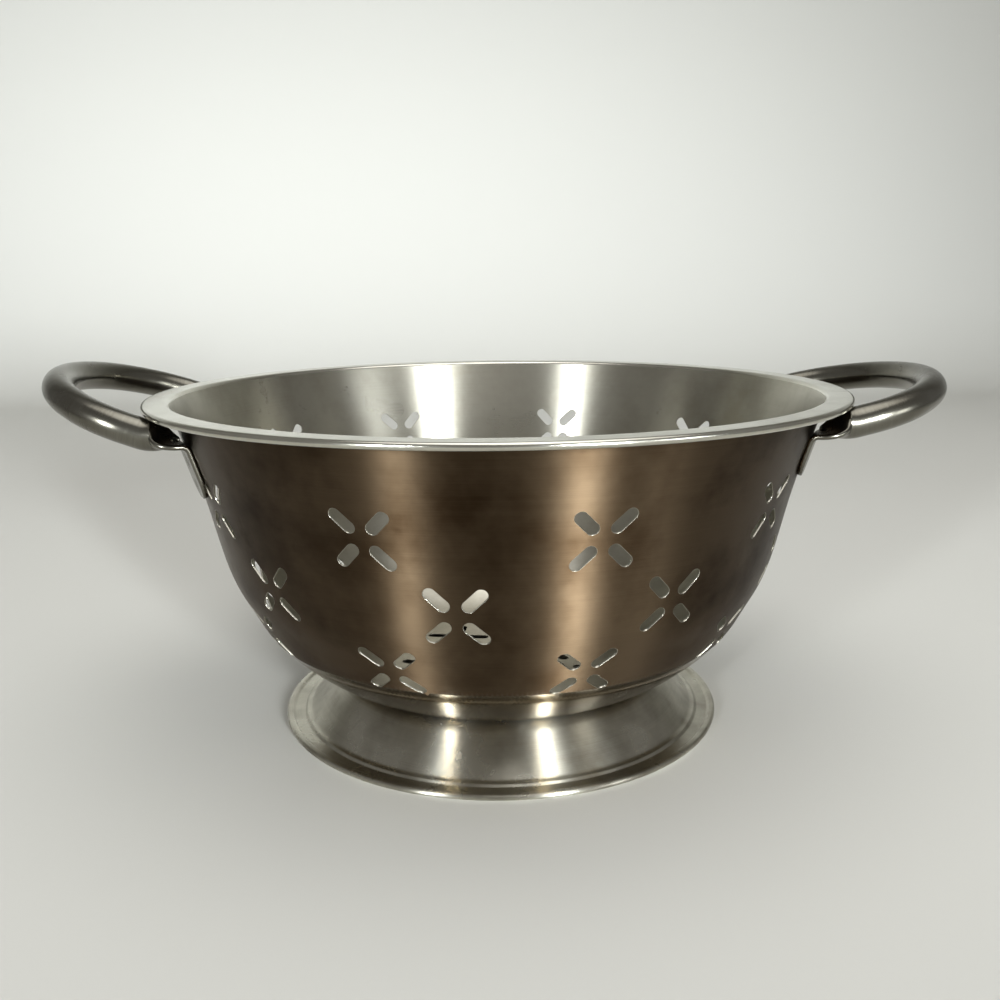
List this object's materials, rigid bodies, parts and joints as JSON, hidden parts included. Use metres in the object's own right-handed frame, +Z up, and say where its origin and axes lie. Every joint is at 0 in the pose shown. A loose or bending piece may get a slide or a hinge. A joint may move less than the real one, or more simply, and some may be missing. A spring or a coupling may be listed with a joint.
{
  "type": "footed colander",
  "caption": "Round metal colander with a pressed bowl, cross-shaped groups of drain slots, a flared foot ring and looped tube handles.",
  "frame": {"origin": "centre of the circle on which the foot ring's rolled edge stands", "axes": "+Z up along the bowl's axis, X across the two handles, -Y towards the viewer in the picture"},
  "size_m": [0.3093, 0.24, 0.1276],
  "materials": {
    "bowl_steel": "brushed round the outside, polished inside",
    "foot_steel": "polished bright steel with light wear",
    "handle_steel": "polished tube with fine draw lines",
    "weld_steel": "bare fused steel inside the joints"
  },
  "bodies": {
    "root": {"bowl": "bowl_steel", "foot_ring": "foot_steel", "handle_left": "handle_steel", "handle_right": "handle_steel", "handle_spot_welds": "weld_steel", "foot_spot_welds": "weld_steel"}
  },
  "joints": []
}
